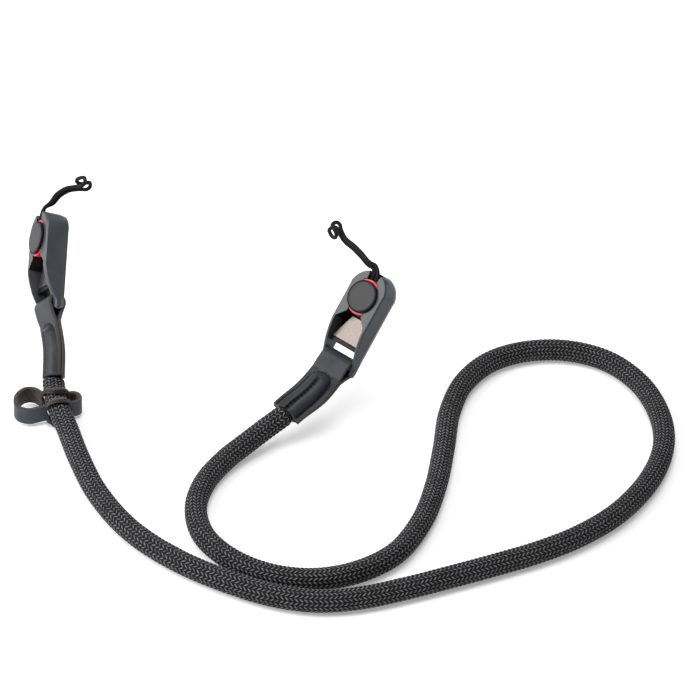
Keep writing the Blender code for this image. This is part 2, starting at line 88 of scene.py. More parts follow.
# The rope's route over the table: x, y and the height of its centre over the table
ROPE_ROUTE = (
    (-123.6, -49.5, 8.6), (-122.0, -56.2, 7.7), (-119.3, -64.1, 7.0), (-115.6, -72.4, 5.7),
    (-108.3, -92.0, 5.0), (-97.5, -115.5, 5.0), (-81.0, -138.0, 5.0), (-59.0, -155.5, 5.0),
    (-32.2, -168.8, 5.0),
    (-14.9, -174.2, 5.0), (2.2, -175.6, 5.0), (19.2, -172.4, 5.0), (38.1, -165.2, 5.0),
    (57.3, -156.5, 5.0), (76.5, -147.4, 5.0), (95.4, -137.8, 5.0), (114.0, -125.7, 5.0),
    (131.9, -108.6, 5.0), (146.7, -84.8, 5.0), (153.4, -62.0, 5.0), (152.6, -41.5, 5.0),
    (144.6, -19.6, 5.0), (130.0, -3.8, 5.0), (111.5, 2.6, 5.0), (92.0, 0.6, 5.0),
    (75.0, -8.6, 5.0), (62.8, -25.0, 5.0), (56.4, -46.5, 5.0), (53.9, -72.1, 5.0),
    (50.6, -98.0, 5.0), (44.6, -122.0, 5.0), (33.5, -143.5, 5.0), (17.0, -156.6, 5.0),
    (-1.0, -162.3, 5.0), (-20.0, -160.8, 5.0), (-37.0, -152.4, 5.0), (-49.6, -138.6, 5.0),
    (-54.4, -121.0, 5.0), (-51.6, -103.6, 5.0), (-43.6, -88.0, 5.3), (-33.4, -76.4, 7.3),
    (-25.5, -69.3, 10.1),
)

# The middle of each anchor cord's two strands, from its hitch to its housing
CORD_ROUTES = {
    "right": ((4.8, -4.3, -3.0), (8.9, -7.7, -4.3), (12.7, -11.3, -6.0), (15.9, -14.6, -7.7)),
    "left": ((-120.3, 24.0, -2.6), (-124.2, 24.2, -3.8), (-128.4, 23.8, -6.9), (-131.4, 22.9, -11.0)),
}

# Which way an anchor cord's two strands lie apart at the hitch, and the share of that way at each point from
# the core to the hitch; the rest is the housing's own way across
CORD_SPREAD = {"right": (0.20, -0.20, 0.96), "left": (-0.57, -0.27, 0.78)}
SPREAD_SHARES = (0.0, 0.0, 0.15, 0.55, 0.9, 1.0, 1.0)

# The hitch, which goes round a bar: each point's place towards the housing, along the bar and to the front,
# in radii of the hitch and, along the bar, in halves of the strands' gap
HITCH = (
    (1.15, 1.25, -0.45), (0.0, 1.5, -1.0), (-0.78, 1.75, -0.66), (-0.78, 1.9, 0.66), (0.0, 2.0, 1.05),
    (0.95, 1.8, 1.25), (1.5, 0.95, 1.3),
)
HITCH_TIP = (1.6, 1.3)
BAR_DIAMETER = 2.2
STRAND_GAP = 2.3

# How far the rope runs straight on from a sleeve, and the points' spacing along the rope and the cords
ROPE_LEAD = 1.6
ROPE_STEP = 0.5
CORD_STEP = 0.25

# The braids' relief, how far the crests of the cords' yarn stand over their core, and the rope's thin ends:
# their radius, over what length they swell at the mouths and how far into the sleeves the yarn covers them
ROPE_BULGE = 0.55
CORD_BULGE = 0.14
CORD_CREST = 0.12
ROPE_END = {"radius": 2.4, "swell": 1.7, "covered": 8.0}

# A yarn float: its length in columns and half width in pitches, and the shares of its height that it loses
# along its shoulders, where it is tucked under at its ends, and all over
YARN = {"length": 1.08, "half": 0.52, "shoulder": 0.6, "tuck": 0.35, "sink": 0.16}

# The keeper's ring seen from above: shares of its length and depth, from the rope's middle
KEEPER_PLAN = (
    (-0.35, 0.16), (-0.32, 0.26), (-0.23, 0.32), (-0.10, 0.33), (0.04, 0.33), (0.18, 0.33),
    (0.32, 0.36), (0.46, 0.39), (0.60, 0.22), (0.63, -0.06), (0.57, -0.36), (0.44, -0.56),
    (0.30, -0.52), (0.17, -0.20), (0.04, 0.06), (-0.10, 0.02), (-0.22, -0.12), (-0.32, -0.05),
)
KEEPER_LENGTH = 29.7
KEEPER_DEPTH = 15.6
KEEPER_STEP = 0.45

# The point of the rope's route that the keeper is at, how far its loops lie under the rope's middle, how far
# to the front its front wall begins, and how far aside of the rope's middle there is a point inside the ring
KEEPER_KNOT = 1
KEEPER_DROP = 1.6
KEEPER_FRONT = 3.0
KEEPER_INSIDE = 4.0

# Where the rope goes through: half the slit's length, and how far the strips stand over and under the rope's
# middle. The slit's place up the band is in half widths, and each strip has so many rows of points
KEEPER_OPENING = 5.55
KEEPER_ARCH = 5.95
KEEPER_SLIT = 0.3
STRIP_ROWS = 6

# There the strip under the rope and the one over it lean out of the ring: how far they reach and still rise,
# as shares of their width, for the wall at the back and the one at the front
KEEPER_LEAN = {"back": ((0.98, 0.06), (0.0, 0.8)), "front": ((0.98, 0.06), (0.9, 0.36))}

# The housing, from its cap's axis and its underside, as the frame has it, with the boxes round its recess
# and its channel, whose faces are painted near-black as shade
HOUSING_THICK = 11.4
HOUSING_TOP = 12.7
END_BAR = {"y": 30.8, "z": 3.0, "radius": 2.0}
CORE = {"length": 17.0, "thick": 2.3}
RECESS = {"half": 8.75, "front": -8.0, "back": -24.2, "floor": 3.0, "under": 0.2}
CHANNEL = {"half": 4.6, "back": -9.2, "floor": 8.0, "under": 0.1, "outwards": 0.3}

# The tab, from the end bar, as the frame has it: its length, the stretch that doesn't drift, its loop, and
# where its sleeve begins to swell and is full
TAB_LENGTH = 36.0
TAB_FREE = 4.5
LOOP_LENGTH = 9.0
LOOP_SLACK = 0.5
SLEEVE_START = 9.5
SLEEVE_FULL = 15.0
SLEEVE_RISE = 3.1
SLEEVE_SKIN = SLEEVE_RISE + 0.05
SLEEVE_CROWN = (2.3, 0.75)
CLEARANCE = 0.3

# The columns of points across a flat side of a tab, the shares of its thickness down a cut edge, and the
# share that is left of it at the rounded mouth
FLAT_COLUMNS = 73
EDGE_LEVELS = (0.94, 0.75, 0.5, 0.25, 0.06)
MOUTH_EDGE = 0.78

# The U of a tab's stitches, the seam that they press in, and the groove along the middle of a sleeve. Each
# deepens from its start over its run
STITCH_HALF = 5.6
STITCH_TOP = 9.4
SEAM = {"depth": 0.6, "width": 0.6, "start": 7.0, "run": 3.0}
# Painted shade darkens the pressed seam and, by a share of its depth, the groove
GROOVE = {"depth": 1.3, "width": 0.8, "start": 12.5, "run": 3.0, "ripple": 0.25, "wave": 2.0, "groove_shade": 0.9,
          "first_bead": 16.0}
THREAD = {"radius": 0.34, "reach": 0.36, "proud": 0.1, "dip": 0.45, "rings": 9, "sides": 8}

# Edges of the housings, cores and plates that are sharper than this are rounded and shaded as edges
EDGE_ANGLE = math.radians(32)

# The view that the photo was taken from: its focal length and width in pixels, and its place in metres
FOCAL_PIXELS = 3300.0
PHOTO_PIXELS = 690.0
VIEW_PLACE = (0.00715, -1.19832, 0.90157)
VIEW_DOWN = 38.965
VIEW_ROLL = 3.0

# The soft lights: name, place and size in metres, and power in watts
LIGHTS = (
    ("soft_left", (-1.05, -0.25, 0.75), 0.9, 17.0),
    ("soft_top", (0.0, -0.2, 1.4), 0.8, 12.0),
    ("soft_back", (0.1, 1.1, 0.9), 1.0, 5.0),
)
LIGHTS_LOOK_AT = (0.0, -0.08, -0.05)


def length_property(name, description, size):
    """A length that a user can change, from a size in millimetres."""
    return bpy.props.FloatProperty(name=name, description=description, default=size * MM, unit="LENGTH")


class StrapSizes(bpy.types.PropertyGroup):
    """The sizes that a user would change."""
    rope_diameter: length_property("Rope diameter", "Across the braid's crests", 10.2)
    rope_columns: bpy.props.IntProperty(
        name="Rope columns", description="Columns of slanted yarn floats round the rope", default=18, min=6)
    rope_pitch: length_property("Rope pitch", "From one float to the next along the rope", 2.0)
    cord_diameter: length_property("Cord diameter", "Diameter of the thin anchor cords", 1.9)
    cord_pitch: length_property("Cord pitch", "From one float to the next along a thin cord", 0.8)
    tab_width: length_property("Tab width", "Width of a leather tab at its loop", 16.7)
    tab_mouth: length_property("Tab mouth width", "Width of a leather tab where the rope leaves it", 14.6)
    leather: length_property("Leather", "Thickness of the tabs' leather", 1.5)
    stitch_pitch: length_property("Stitch pitch", "From one stitch to the next", 2.0)
    keeper_band: length_property("Keeper band", "Width of the keeper's leather band", 8.2)
    keeper_leather: length_property("Keeper leather", "Thickness of the keeper's leather", 1.6)


def linear(hex_colour):
    """A linear colour from an sRGB hex value."""
    parts = np.array([int(hex_colour[i:i + 2], 16) / 255 for i in (0, 2, 4)])
    low, high = parts / 12.92, ((parts + 0.055) / 1.055) ** 2.4
    return (*np.where(parts <= 0.04045, low, high).tolist(), 1.0)


def colour_property(name, description, hex_colour):
    """A colour that a user can change, from an sRGB hex value."""
    return bpy.props.FloatVectorProperty(name=name, description=description, default=linear(hex_colour),
                                         size=4, min=0.0, max=1.0, subtype="COLOR")


class StrapColours(bpy.types.PropertyGroup):
    """The colours that a user would change: each default is the linear colour of an sRGB hex value."""
    # The yarn is black: its top colour is lightened as a painted highlight and its gap colour darkened as
    # painted shade
    yarn_crest_highlight: colour_property("Yarn crest", "Top of the rope's yarn floats", "8E8E92")
    yarn_gap_shade: colour_property("Yarn gap", "Between the rope's yarn floats", "070708")
    # The thin cord's colour is its floats' top, lightened as a painted highlight over the yarn's painted gap
    # shade
    cord: colour_property("Thin cord", "The anchor cords", "242427")
    leather: colour_property("Tab leather", "Smooth side of the tabs", "2A2B30")
    keeper: colour_property("Keeper leather", "Smooth side of the keeper", "2F3438")
    suede: colour_property("Keeper inside", "Rough side of the keeper", "2A2523")
    thread: colour_property("Thread", "The stitches", "08080A")
    housing: colour_property("Housing", "The moulded housings", "3E4248")
    # The housings' recess and channel and the caps' sides take this near-black as painted shade
    cavity_shade: colour_property("Cavity", "The black inside of the housings", "0B0B0D")
    cap: colour_property("Cap", "The anchors' round caps", "383637")
    core: colour_property("Core", "The anchors' red cores", "E2303A")
    plate: colour_property("Plate", "The spring plates", "776E69")


def smooth(value):
    """An ease from 0 to 1: three times the square less twice the cube."""
    q = np.clip(value, 0.0, 1.0)
    return q * q * (3 - 2 * q)


def smooth_path(points, step, closed=False):
    """Points every step along a centripetal Catmull-Rom curve through the given points."""
    knots = np.array(points, dtype=float)
    if closed:
        knots = np.vstack([knots[-1], knots, knots[:2]])
    else:
        knots = np.vstack([2 * knots[0] - knots[1], knots, 2 * knots[-1] - knots[-2]])
    fine = []
    for i in range(1, len(knots) - 2):
        p = knots[i - 1:i + 3]
        t = np.concatenate([[0.0], np.cumsum(np.linalg.norm(np.diff(p, axis=0), axis=1) ** 0.5)])
        s = np.linspace(t[1], t[2], 24, endpoint=False)[:, None]
        a = [(p[k] * (t[k + 1] - s) + p[k + 1] * (s - t[k])) / (t[k + 1] - t[k]) for k in range(3)]
        b = [(a[k] * (t[k + 2] - s) + a[k + 1] * (s - t[k])) / (t[k + 2] - t[k]) for k in range(2)]
        fine.append((b[0] * (t[2] - s) + b[1] * (s - t[1])) / (t[2] - t[1]))
    fine = np.vstack(fine + [knots[-2:-1]])
    along = run_length(fine)
    places = np.linspace(0.0, along[-1], max(2, round(along[-1] / step) + 1))
    path = np.stack([np.interp(places, along, fine[:, k]) for k in range(3)], axis=1)
    return path[:-1] if closed else path


def run_length(path):
    """The distance along a path at each of its points."""
    return np.concatenate([[0.0], np.cumsum(np.linalg.norm(np.diff(path, axis=0), axis=1))])


def unit(rows):
    """Rows of numbers, each over its own length."""
    return rows / np.linalg.norm(rows, axis=-1, keepdims=True)


def path_frames(path, start):
    """Tangents and two normals along a path: the first normal turns as little as it can at each step."""
    tangents = unit(np.gradient(path, axis=0))
    normals = np.zeros_like(path)
    normal = np.array(start, dtype=float)
    for i, tangent in enumerate(tangents):
        normal = normal - tangent * (normal @ tangent)
        normal = normal / np.linalg.norm(normal)
        normals[i] = normal
    return tangents, normals, np.cross(tangents, normals)


def end_matrix(name):
    """The turn and then the place of a housing, as one matrix in millimetres."""
    end = ENDS[name]
    turn = Euler([math.radians(a) for a in end["turn"]]).to_matrix().to_4x4()
    return np.array(Matrix.Translation(Vector(end["place"])) @ turn)


def placed(name, local):
    """Points of a housing's own frame, in the strap's frame."""
    matrix = end_matrix(name)
    return local @ matrix[:3, :3].T + matrix[:3, 3]


def tab_surface(name, along, across, height):
    """Points of a tab from their place along it from the end bar, across it and off its middle plane. Past
    the housing's nose the plane drifts and bows aside and twists, and at the bar it is folded."""
    end = ENDS[name]
    free = np.clip((along - TAB_FREE) / (TAB_LENGTH - TAB_FREE), 0.0, 1.0)
    twist = math.radians(end["twist"]) * smooth(free)
    x = (across * np.cos(twist) - height * np.sin(twist)
         + end["drift"] * smooth(free) + end["bow"] * np.sin(math.pi * free) ** 2)
    z = across * np.sin(twist) + height * np.cos(twist)
    fold = math.radians(end["fold"])
    local = np.stack(np.broadcast_arrays(
        x, -END_BAR["y"] - along * math.cos(fold) + z * math.sin(fold),
        END_BAR["z"] + along * math.sin(fold) + z * math.cos(fold)), axis=-1)
    return placed(name, local)


def grid_quads(rows, columns, wrap_rows=False, wrap_columns=False):
    """The corners of each quad of a grid as its row and column, before they wrap round."""
    r, c = np.meshgrid(np.arange(rows - (not wrap_rows)), np.arange(columns - (not wrap_columns)),
                       indexing="ij")
    rr = np.stack([r, r, r + 1, r + 1], axis=-1).reshape(-1, 4)
    cc = np.stack([c, c + 1, c + 1, c], axis=-1).reshape(-1, 4)
    return rr, cc


def end_quads(count):
    """The corners of the quads that close a ring: each joins two points to the two that lie opposite."""
    k = np.arange(count // 2 - 1)
    return np.stack([k, k + 1, count - 2 - k, count - 1 - k], axis=1)


def repeated(quads, count, size):
    """The quads of like patches that follow one another, each of so many points."""
    return (quads[None] + (np.arange(count) * size)[:, None, None]).reshape(-1, 4)


def mesh_piece(name, points, quads, uv=None, floats=None, finish=(), slots=None):
    """A mesh object from points and quads, with a UV for each corner and named values for each point."""
    mesh = bpy.data.meshes.new(name)
    mesh.vertices.add(len(points))
    mesh.vertices.foreach_set("co", (points * MM).astype(np.float32).ravel())
    mesh.loops.add(quads.size)
    mesh.loops.foreach_set("vertex_index", quads.astype(np.int32).ravel())
    mesh.polygons.add(len(quads))
    mesh.polygons.foreach_set("loop_start", np.arange(0, quads.size, 4, dtype=np.int32))
    mesh.polygons.foreach_set("loop_total", np.full(len(quads), 4, dtype=np.int32))
    mesh.update(calc_edges=True)
    if uv is not None:
        layer = mesh.uv_layers.new(name="surface")
        layer.data.foreach_set("uv", uv.astype(np.float32).ravel())
    for key, values in (floats or {}).items():
        mesh.attributes.new(key, "FLOAT", "POINT").data.foreach_set("value", values.astype(np.float32))
    for material in finish:
        mesh.materials.append(material)
    if slots is not None:
        mesh.polygons.foreach_set("material_index", slots.astype(np.int32))
    mesh.shade_smooth()
    piece = bpy.data.objects.new(name, mesh)
    bpy.context.scene.collection.objects.link(piece)
    return piece


def point_outwards(piece):
    """Turns the faces of a closed piece outwards."""
    shell = bmesh.new()
    shell.from_mesh(piece.data)
    bmesh.ops.recalc_face_normals(shell, faces=shell.faces)
    shell.to_mesh(piece.data)
    shell.free()


def round_edges(piece, width, angle):
    """Rounds the edges of a piece that are sharper than an angle."""
    edge = piece.modifiers.new("edges", "BEVEL")
    edge.width = width * MM
    edge.segments = 2
    edge.limit_method = "ANGLE"
    edge.angle_limit = angle


def braid(name, path, start, radius, columns, pitch, bulge, covered, cells, material):
    """A round braid on a path: a core tube, and over it columns of slanted yarn floats. Each float's place
    round the tube runs linearly with its place along it, up in even columns and down in odd ones, and its
    height is a parabola across the yarn that sinks into the tube at its edges and towards both of its ends.
    radius is a function of the distance."""
    tangents, normals, sides = path_frames(path, start)
    lengths = run_length(path)

    def surface(distance, angle, height):
        """Points from their distance along the path, their angle round it and their height over the tube."""
        centre, normal, side = (
            np.stack([np.interp(distance, lengths, rows[:, k]) for k in range(3)], axis=-1)
            for rows in (path, normals, sides))
        out = unit(normal) * np.cos(angle)[..., None] + unit(side) * np.sin(angle)[..., None]
        return centre + out * (radius(distance) + height)[..., None]

    first, last = covered
    step = 0.8 * float(radius(np.array(lengths[-1] / 2)))
    rings = np.unique(np.concatenate([np.linspace(0.0, first, 28),
                                      np.linspace(first, last, round((last - first) / step)),
                                      np.linspace(last, lengths[-1], 28)]))
    around = np.arange(columns) * 2 * math.pi / columns
    ring_grid, angle_grid = np.meshgrid(rings, around, indexing="ij")
    tube = surface(ring_grid, angle_grid, np.full(ring_grid.shape, -0.12 * bulge))
    rr, cc = grid_quads(len(rings), columns, wrap_columns=True)
    tube_quads = rr * columns + cc % columns
    end = end_quads(columns)

    rows = np.arange(first + pitch / 2, last, pitch)
    a, b = np.linspace(-1, 1, cells[0]), np.linspace(-1, 1, cells[1])
    row, column, a, b = np.meshgrid(rows, np.arange(columns), a, b, indexing="ij")
    slant = np.where(column % 2 == 0, 1.0, -1.0)
    angle = 2 * math.pi * (column + 0.5) / columns + a * YARN["length"] * math.pi / columns
    distance = row + slant * a * 0.5 * pitch + b * YARN["half"] * pitch
    height = bulge * ((1 - b ** 2) * (1 - YARN["shoulder"] * a ** 4) - YARN["tuck"] * np.abs(a) ** 3
                      - YARN["sink"])
    yarn = surface(np.clip(distance, 0.0, lengths[-1]), angle, height)
    floats = len(rows) * columns
    patch = cells[0] * cells[1]
    rr, cc = grid_quads(cells[0], cells[1])
    yarn_quads = repeated(rr * cells[1] + cc, floats, patch)[:, ::-1]
    tone = np.random.default_rng(7).uniform(0.0, 1.0, floats).repeat(patch)
    points = np.vstack([tube.reshape(-1, 3), yarn.reshape(-1, 3)])
    base = tube.size // 3
    quads = np.vstack([tube_quads, end[:, ::-1], end + base - columns, yarn_quads + base])
    yarn_uv = np.stack([(a.ravel() + 1) / 2, (b.ravel() + 1) / 2], axis=1)
    uv_points = np.vstack([np.zeros((base, 2)), yarn_uv])
    return mesh_piece(name, points, quads, uv=uv_points[quads.ravel()],
                      floats={"tone": np.concatenate([np.zeros(base), tone])}, finish=[material])


def wire(tree, made, settings=None, links=None):
    """Sets and links a node. A key that is a number or the name of an input is an input, any other a
    setting of the node's own."""
    for key, value in (settings or {}).items():
        if isinstance(key, int) or key in made.inputs:
            made.inputs[key].default_value = value
        else:
            setattr(made, key, value)
    for key, source in (links or {}).items():
        tree.links.new(source, made.inputs[key])


def node(tree, kind, settings=None, links=None):
    """A new shader node with its settings and links."""
    made = tree.nodes.new(kind)
    wire(tree, made, settings, links)
    return made


def new_material(name):
    """A material with its node tree and its shader."""
    material = bpy.data.materials.new(name)
    material.use_nodes = True
    return material, material.node_tree, material.node_tree.nodes["Principled BSDF"]


def shaded(colour, share):
    """A linear colour times a share."""
    return (*(share * c for c in tuple(colour)[:3]), 1.0)


def ramp(tree, source, stops):
    """A colour that runs from stop to stop with the source. The stops between come after the outer two."""
    made = node(tree, "ShaderNodeValToRGB", links={"Fac": source})
    elements = made.color_ramp.elements
    for i, (place, colour) in enumerate(stops):
        element = elements[i] if i < 2 else elements.new(place)
        element.position = place
        element.color = colour
    return made.outputs["Color"]


def braided_polyester(name, crest, gap):
    """Polyester multifilament yarn, braided and left matt. The colour runs from painted shade in the gaps
    between the yarns and at the floats' tucked ends to a painted highlight along each float's top, and a
    faint lustre runs along each float. The filaments are drawn about nine to a float, coarser than the real
    ones, so that they show."""
    material, tree, shader = new_material(name)
    surface = node(tree, "ShaderNodeUVMap", {"uv_map": "surface"}).outputs["UV"]
    place = node(tree, "ShaderNodeSeparateXYZ", links={"Vector": surface})
    # Across each float the colour runs from painted shade at its edges and tucked ends to a painted
    # highlight on its top
    crown = node(tree, "ShaderNodeMath", {"operation": "PINGPONG", 1: 0.5}, {0: place.outputs["Y"]})
    reach = node(tree, "ShaderNodeMath", {"operation": "PINGPONG", 1: 0.5}, {0: place.outputs["X"]})
    tuck = node(tree, "ShaderNodeMapRange", {"From Max": 0.24}, {"Value": reach.outputs["Value"]})
    across = node(tree, "ShaderNodeMath", {"operation": "MULTIPLY"},
                  {0: crown.outputs["Value"], 1: tuck.outputs["Result"]})
    filaments = node(tree, "ShaderNodeMapping", {"Scale": (1.4, 9.0, 1.0)}, {"Vector": surface})
    tone = node(tree, "ShaderNodeAttribute", {"attribute_name": "tone"}).outputs["Fac"]
    strands = node(tree, "ShaderNodeTexNoise", {"noise_dimensions": "4D", "Scale": 1.0, "Detail": 3.0},
                   {"Vector": filaments.outputs["Vector"], "W": tone}).outputs["Fac"]
    raised = node(tree, "ShaderNodeMath", {"operation": "MULTIPLY_ADD", 1: 0.4},
                  {0: strands, 2: across.outputs["Value"]})
    middle = tuple(0.85 * low + 0.15 * high for low, high in zip(gap, crest))
    shade = ramp(tree, raised.outputs["Value"], [(0.34, gap), (0.74, crest), (0.54, middle)])
    varied = node(tree, "ShaderNodeMapRange", {"To Min": 0.55, "To Max": 1.25}, {"Value": tone})
    tint = node(tree, "ShaderNodeMix", {"data_type": "RGBA", "blend_type": "MULTIPLY", 0: 1.0},
                {6: shade, 7: varied.outputs["Result"]})
    bump = node(tree, "ShaderNodeBump", {"Strength": 0.35, "Distance": 0.2 * MM}, {"Height": strands})
    wire(tree, shader, {"Roughness": 0.7, "Specular IOR Level": 0.25, "Sheen Weight": 0.05},
         {"Base Color": tint.outputs[2], "Normal": bump.outputs["Normal"]})
    return material


def full_grain_leather(name, colour, cut, roughness):
    """Chrome-tanned leather with a smooth finished side. The eye sees a soft broad sheen over fine creases
    and pores and a paler, rougher cut along its edges. Where the stitches press it in, painted shade darkens
    it. The pores are drawn coarser than the real ones, so that they show."""
    material, tree, shader = new_material(name)
    place = node(tree, "ShaderNodeTexCoord").outputs["Object"]
    pores = node(tree, "ShaderNodeTexVoronoi", {"feature": "DISTANCE_TO_EDGE", "Scale": 1 / (0.55 * MM)},
                 {"Vector": place})
    creases = node(tree, "ShaderNodeTexNoise", {"Scale": 1 / (2.2 * MM), "Detail": 4.0, "Roughness": 0.6},
                   {"Vector": place})
    clouds = node(tree, "ShaderNodeTexNoise", {"Scale": 1 / (9 * MM), "Detail": 2.0}, {"Vector": place})
    shade = ramp(tree, clouds.outputs["Fac"], [(0.3, shaded(colour, 0.72)), (0.7, shaded(colour, 1.4))])
    edge = node(tree, "ShaderNodeAttribute", {"attribute_name": "cut"}).outputs["Fac"]
    mixed = node(tree, "ShaderNodeMix", {"data_type": "RGBA", 7: cut}, {0: edge, 6: shade})
    # The pressed seams and groove are darkened to a fifth of the colour as painted shade
    pressed = node(tree, "ShaderNodeAttribute", {"attribute_name": "pressed"}).outputs["Fac"]
    waxed = node(tree, "ShaderNodeMix", {"data_type": "RGBA", 7: shaded(colour, 0.2)},
                 {0: pressed, 6: mixed.outputs[2]})
    rough = node(tree, "ShaderNodeMapRange", {"To Min": roughness, "To Max": 0.85}, {"Value": edge})
    fine = node(tree, "ShaderNodeBump", {"Strength": 0.25, "Distance": 0.1 * MM},
                {"Height": pores.outputs["Distance"]})
    broad = node(tree, "ShaderNodeBump", {"Strength": 0.35, "Distance": 0.3 * MM},
                 {"Height": creases.outputs["Fac"], "Normal": fine.outputs["Normal"]})
    wire(tree, shader, {"Specular IOR Level": 0.35},
         {"Base Color": waxed.outputs[2], "Roughness": rough.outputs["Result"],
          "Normal": broad.outputs["Normal"]})
    return material


def suede_side(name, colour, fibre):
    """The unfinished inner side of the leather. The eye sees a dull brown-black nap with paler fibres."""
    material, tree, shader = new_material(name)
    place = node(tree, "ShaderNodeTexCoord").outputs["Object"]
    nap = node(tree, "ShaderNodeTexNoise", {"Scale": 1 / (0.9 * MM), "Detail": 5.0, "Roughness": 0.75},
               {"Vector": place}).outputs["Fac"]
    bump = node(tree, "ShaderNodeBump", {"Strength": 0.8, "Distance": 0.3 * MM}, {"Height": nap})
    wire(tree, shader, {"Roughness": 0.95, "Sheen Weight": 0.15},
         {"Base Color": ramp(tree, nap, [(0.35, colour), (0.75, fibre)]), "Normal": bump.outputs["Normal"]})
    return material


def waxed_thread(name, colour):
    """Waxed polyester thread, twisted. The eye sees small black beads with a dull gleam."""
    material, tree, shader = new_material(name)
    place = node(tree, "ShaderNodeTexCoord").outputs["Object"]
    twist = node(tree, "ShaderNodeTexNoise", {"Scale": 1 / (0.3 * MM), "Detail": 2.0}, {"Vector": place})
    shade = ramp(tree, twist.outputs["Fac"], [(0.3, colour), (0.8, shaded(colour, 4.0))])
    wire(tree, shader, {"Roughness": 0.5, "Specular IOR Level": 0.25}, {"Base Color": shade})
    return material


def moulded_plastic(name, colour, roughness, grain=0.25, tone=0.12, specular=0.5):
    """Injection-moulded plastic with a spark-eroded satin skin. The eye sees an even colour with a soft
    highlight that a fine grain breaks up. The grain is drawn coarser than the real one, so that it shows."""
    material, tree, shader = new_material(name)
    place = node(tree, "ShaderNodeTexCoord").outputs["Object"]
    skin = node(tree, "ShaderNodeTexNoise", {"Scale": 1 / (0.35 * MM), "Detail": 2.0}, {"Vector": place})
    cloud = node(tree, "ShaderNodeTexNoise", {"Scale": 1 / (7 * MM), "Detail": 3.0},
                 {"Vector": place}).outputs["Fac"]
    shade = ramp(tree, cloud, [(0.3, shaded(colour, 1 - tone)), (0.7, shaded(colour, 1 + tone))])
    rough = node(tree, "ShaderNodeMapRange", {"To Min": roughness - 0.05, "To Max": roughness + 0.08},
                 {"Value": cloud})
    bump = node(tree, "ShaderNodeBump", {"Strength": grain, "Distance": 0.05 * MM},
                {"Height": skin.outputs["Fac"]})
    wire(tree, shader, {"Specular IOR Level": specular},
         {"Base Color": shade, "Roughness": rough.outputs["Result"], "Normal": bump.outputs["Normal"]})
    return material


def satin_spring_steel(name, colour):
    """Spring steel sheet, rolled and blasted. The eye sees a warm pale grey satin with faint rolling lines,
    which are drawn coarser than the real ones, so that they show."""
    material, tree, shader = new_material(name)
    place = node(tree, "ShaderNodeTexCoord").outputs["Object"]
    along, apart = 1 / (1.11 * MM), 1 / (0.222 * MM)
    rolled = node(tree, "ShaderNodeMapping", {"Scale": (along, along, apart)}, {"Vector": place})
    lines = node(tree, "ShaderNodeTexNoise", {"Scale": 1.0, "Detail": 3.0},
                 {"Vector": rolled.outputs["Vector"]}).outputs["Fac"]
    bump = node(tree, "ShaderNodeBump", {"Strength": 0.1, "Distance": 0.05 * MM}, {"Height": lines})
    wire(tree, shader, {"Metallic": 1.0, "Roughness": 0.42},
         {"Base Color": ramp(tree, lines, [(0.3, shaded(colour, 0.8)), (0.7, colour)]),
          "Normal": bump.outputs["Normal"]})
    return material


def acrylic_sweep(name):
    """White opal acrylic table, sanded and lit a little from below. The eye sees an even white."""
    material, tree, shader = new_material(name)
    place = node(tree, "ShaderNodeTexCoord").outputs["Object"]
    haze = node(tree, "ShaderNodeTexNoise", {"Scale": 1 / (2.5 * MM), "Detail": 2.0}, {"Vector": place})
    shade = ramp(tree, haze.outputs["Fac"], [(0.3, linear("F7F7F7")), (0.7, linear("FBFBFB"))])
    wire(tree, shader, {"Roughness": 0.9, "Specular IOR Level": 0.1, "Emission Color": linear("FFFFFF"),
                        "Emission Strength": 0.3}, {"Base Color": shade})
    return material


def inside_sleeve(name):
    """The middle line of a tab's sleeve, from near its closed end to just out of its mouth."""
    stations = np.array([SLEEVE_FULL, 0.55 * TAB_LENGTH, 0.75 * TAB_LENGTH, TAB_LENGTH + 0.1])
    return tab_surface(name, stations, 0.0, 0.0)


def rope_path():
    """The rope's middle line from inside the left sleeve over the table to inside the right one."""
    left, right = inside_sleeve("left"), inside_sleeve("right")
    lying = np.array(ROPE_ROUTE) + [0.0, 0.0, TABLE]
    first, last = (line[-1] + ROPE_LEAD * unit(line[-1] - line[-2]) for line in (left, right))
    return smooth_path(np.vstack([left, first, lying, last, right[::-1]]), ROPE_STEP)


def cord_path(name, diameter):
    """One anchor cord: up one strand from the core, hitched round a bar, and down the other strand."""
    end = ENDS[name]
    across = end_matrix(name)[:3, 0]
    bar_middle = np.array(end["hitch"])
    level = HOUSING_THICK - CORE["thick"] + diameter / 2
    seat = placed(name, np.array([(0, CORE["length"] / 2 + 1.5 * CLEARANCE, level),
                                  (0.15 * end["mouth"], HOUSING_TOP - 1.5, level),
                                  (end["mouth"], HOUSING_TOP + 1.5, level + end["lift"])]))
    route = np.array(CORD_ROUTES[name])
    pull = unit(route[0] - bar_middle)
    spread = np.array(CORD_SPREAD[name])
    bar = unit(spread - pull * (spread @ pull))
    front = np.cross(pull, bar)
    centre = np.vstack([seat, route[::-1]])
    tangents = unit(np.vstack([centre[1] - centre[0], centre[2:] - centre[:-2], centre[-1] - centre[-2]]))
    shares = np.array(SPREAD_SHARES)[:, None]
    lie = across * (1 - shares) + spread * shares
    sides = unit(lie - tangents * (tangents * lie).sum(axis=1, keepdims=True))
    wrap, half = (BAR_DIAMETER + diameter) / 2 + 0.1, STRAND_GAP / 2
    hitch = np.array(HITCH)
    turns = bar_middle + wrap * (hitch[:, :1] * pull + hitch[:, 2:] * front)
    asides = half * hitch[:, 1:2] * bar
    up = np.vstack([centre + sides * half, turns + asides])
    tip = bar_middle + wrap * (HITCH_TIP[0] * pull + HITCH_TIP[1] * front)
    down = np.vstack([centre - sides * half, turns - asides])
    return smooth_path(np.vstack([up, tip, down[::-1]]), CORD_STEP), across


def swell(along, across, half, height):
    """How far a sleeve's face stands off the tab's middle plane: a round crown over its half width."""
    q = np.clip(np.abs(across) / half, 0.0, 1.0)
    rise = smooth((along - SLEEVE_START) / (SLEEVE_FULL - SLEEVE_START))
    return rise * height * (1.0 - q ** SLEEVE_CROWN[0]) ** SLEEVE_CROWN[1]


